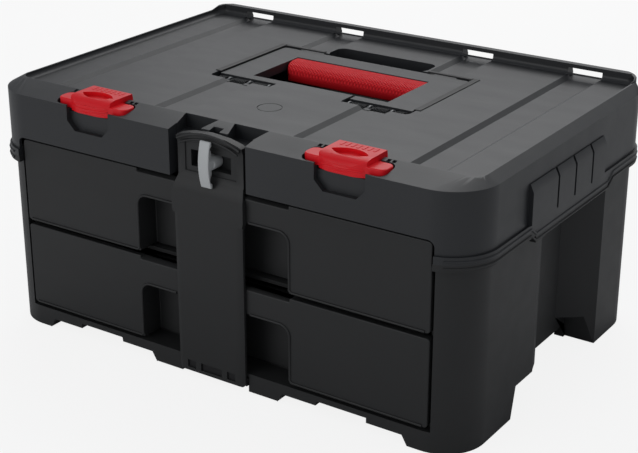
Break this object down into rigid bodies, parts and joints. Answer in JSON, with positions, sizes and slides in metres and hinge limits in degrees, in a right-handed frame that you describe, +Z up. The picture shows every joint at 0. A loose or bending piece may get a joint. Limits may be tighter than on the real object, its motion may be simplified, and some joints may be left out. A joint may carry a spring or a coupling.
{
  "type": "portable tool box with drawers",
  "caption": "Portable moulded tool box with stacked drawers behind a hinged locking bar, a folding carrying handle, sliding latches and hand recesses.",
  "frame": {"origin": "bottom centre of the bounding box, on the ground under the middle of the box", "axes": "+X to the right seen from the front, along the width; +Y from the front to the back; +Z up; the drawers open toward -Y"},
  "size_m": [0.489, 0.3388, 0.2295],
  "materials": {
    "black_plastic": "fine moulded texture, satin",
    "grey_plastic": "fine moulded texture, satin",
    "red_plastic": "smooth, lightly glossy",
    "red_rubber": "soft, diamond texture",
    "light_plastic": "smooth, matt",
    "steel": "drawn wire, bright"
  },
  "bodies": {
    "chassis": {"body_housing": "black_plastic", "top_cover": "grey_plastic", "mid_shelf": "black_plastic", "runner_lower_left": "black_plastic", "runner_lower_right": "black_plastic", "runner_upper_left": "black_plastic", "runner_upper_right": "black_plastic", "cover_screw_1": "steel", "cover_screw_2": "steel", "cover_screw_3": "steel", "cover_screw_4": "steel", "bar_hinge_pin": "steel", "handle_pin_left": "steel", "handle_pin_right": "steel"},
    "drawer_lower": {"drawer_front_lower": "black_plastic", "drawer_tray_lower": "black_plastic", "tray_divider_lower": "black_plastic"},
    "drawer_upper": {"drawer_front_upper": "black_plastic", "drawer_tray_upper": "black_plastic", "tray_divider_upper": "black_plastic"},
    "bar": {"locking_bar": "black_plastic"},
    "knob": {"lock_knob": "light_plastic", "knob_spindle": "steel", "knob_cam": "steel"},
    "handle": {"handle_frame": "grey_plastic", "handle_grip": "red_rubber"},
    "latch_l": {"latch_left": "red_plastic"},
    "latch_r": {"latch_right": "red_plastic"}
  },
  "joints": [
    {"name": "bar_swing", "type": "hinge", "parent": "chassis", "child": "bar", "pos_m": [0, -0.1584, 0.0095], "axis": [1, 0, 0], "range_deg": [0, 84]},
    {"name": "knob_turn", "type": "hinge", "parent": "bar", "child": "knob", "pos_m": [0, -0.16, 0.1975], "axis": [0, 1, 0], "range_deg": [0, 90]},
    {"name": "handle_swing", "type": "hinge", "parent": "chassis", "child": "handle", "pos_m": [0, -0.0194, 0.214], "axis": [1, 0, 0], "range_deg": [0, 95]},
    {"name": "latch_left_slide", "type": "slide", "parent": "chassis", "child": "latch_l", "axis": [0, -1, 0], "range_m": [0, 0.0025], "stiffness_N_per_m": 300},
    {"name": "latch_right_slide", "type": "slide", "parent": "chassis", "child": "latch_r", "axis": [0, -1, 0], "range_m": [0, 0.0025], "stiffness_N_per_m": 300},
    {"name": "drawer_upper_slide", "type": "slide", "parent": "chassis", "child": "drawer_upper", "axis": [0, -1, 0], "range_m": [0, 0.22]},
    {"name": "drawer_lower_slide", "type": "slide", "parent": "chassis", "child": "drawer_lower", "axis": [0, -1, 0], "range_m": [0, 0.22]}
  ],
  "couplings": [
    {"joint": "drawer_upper_slide", "follows": "bar_swing", "m_per_rad": 0.11},
    {"joint": "drawer_lower_slide", "follows": "bar_swing", "m_per_rad": 0.03}
  ]
}
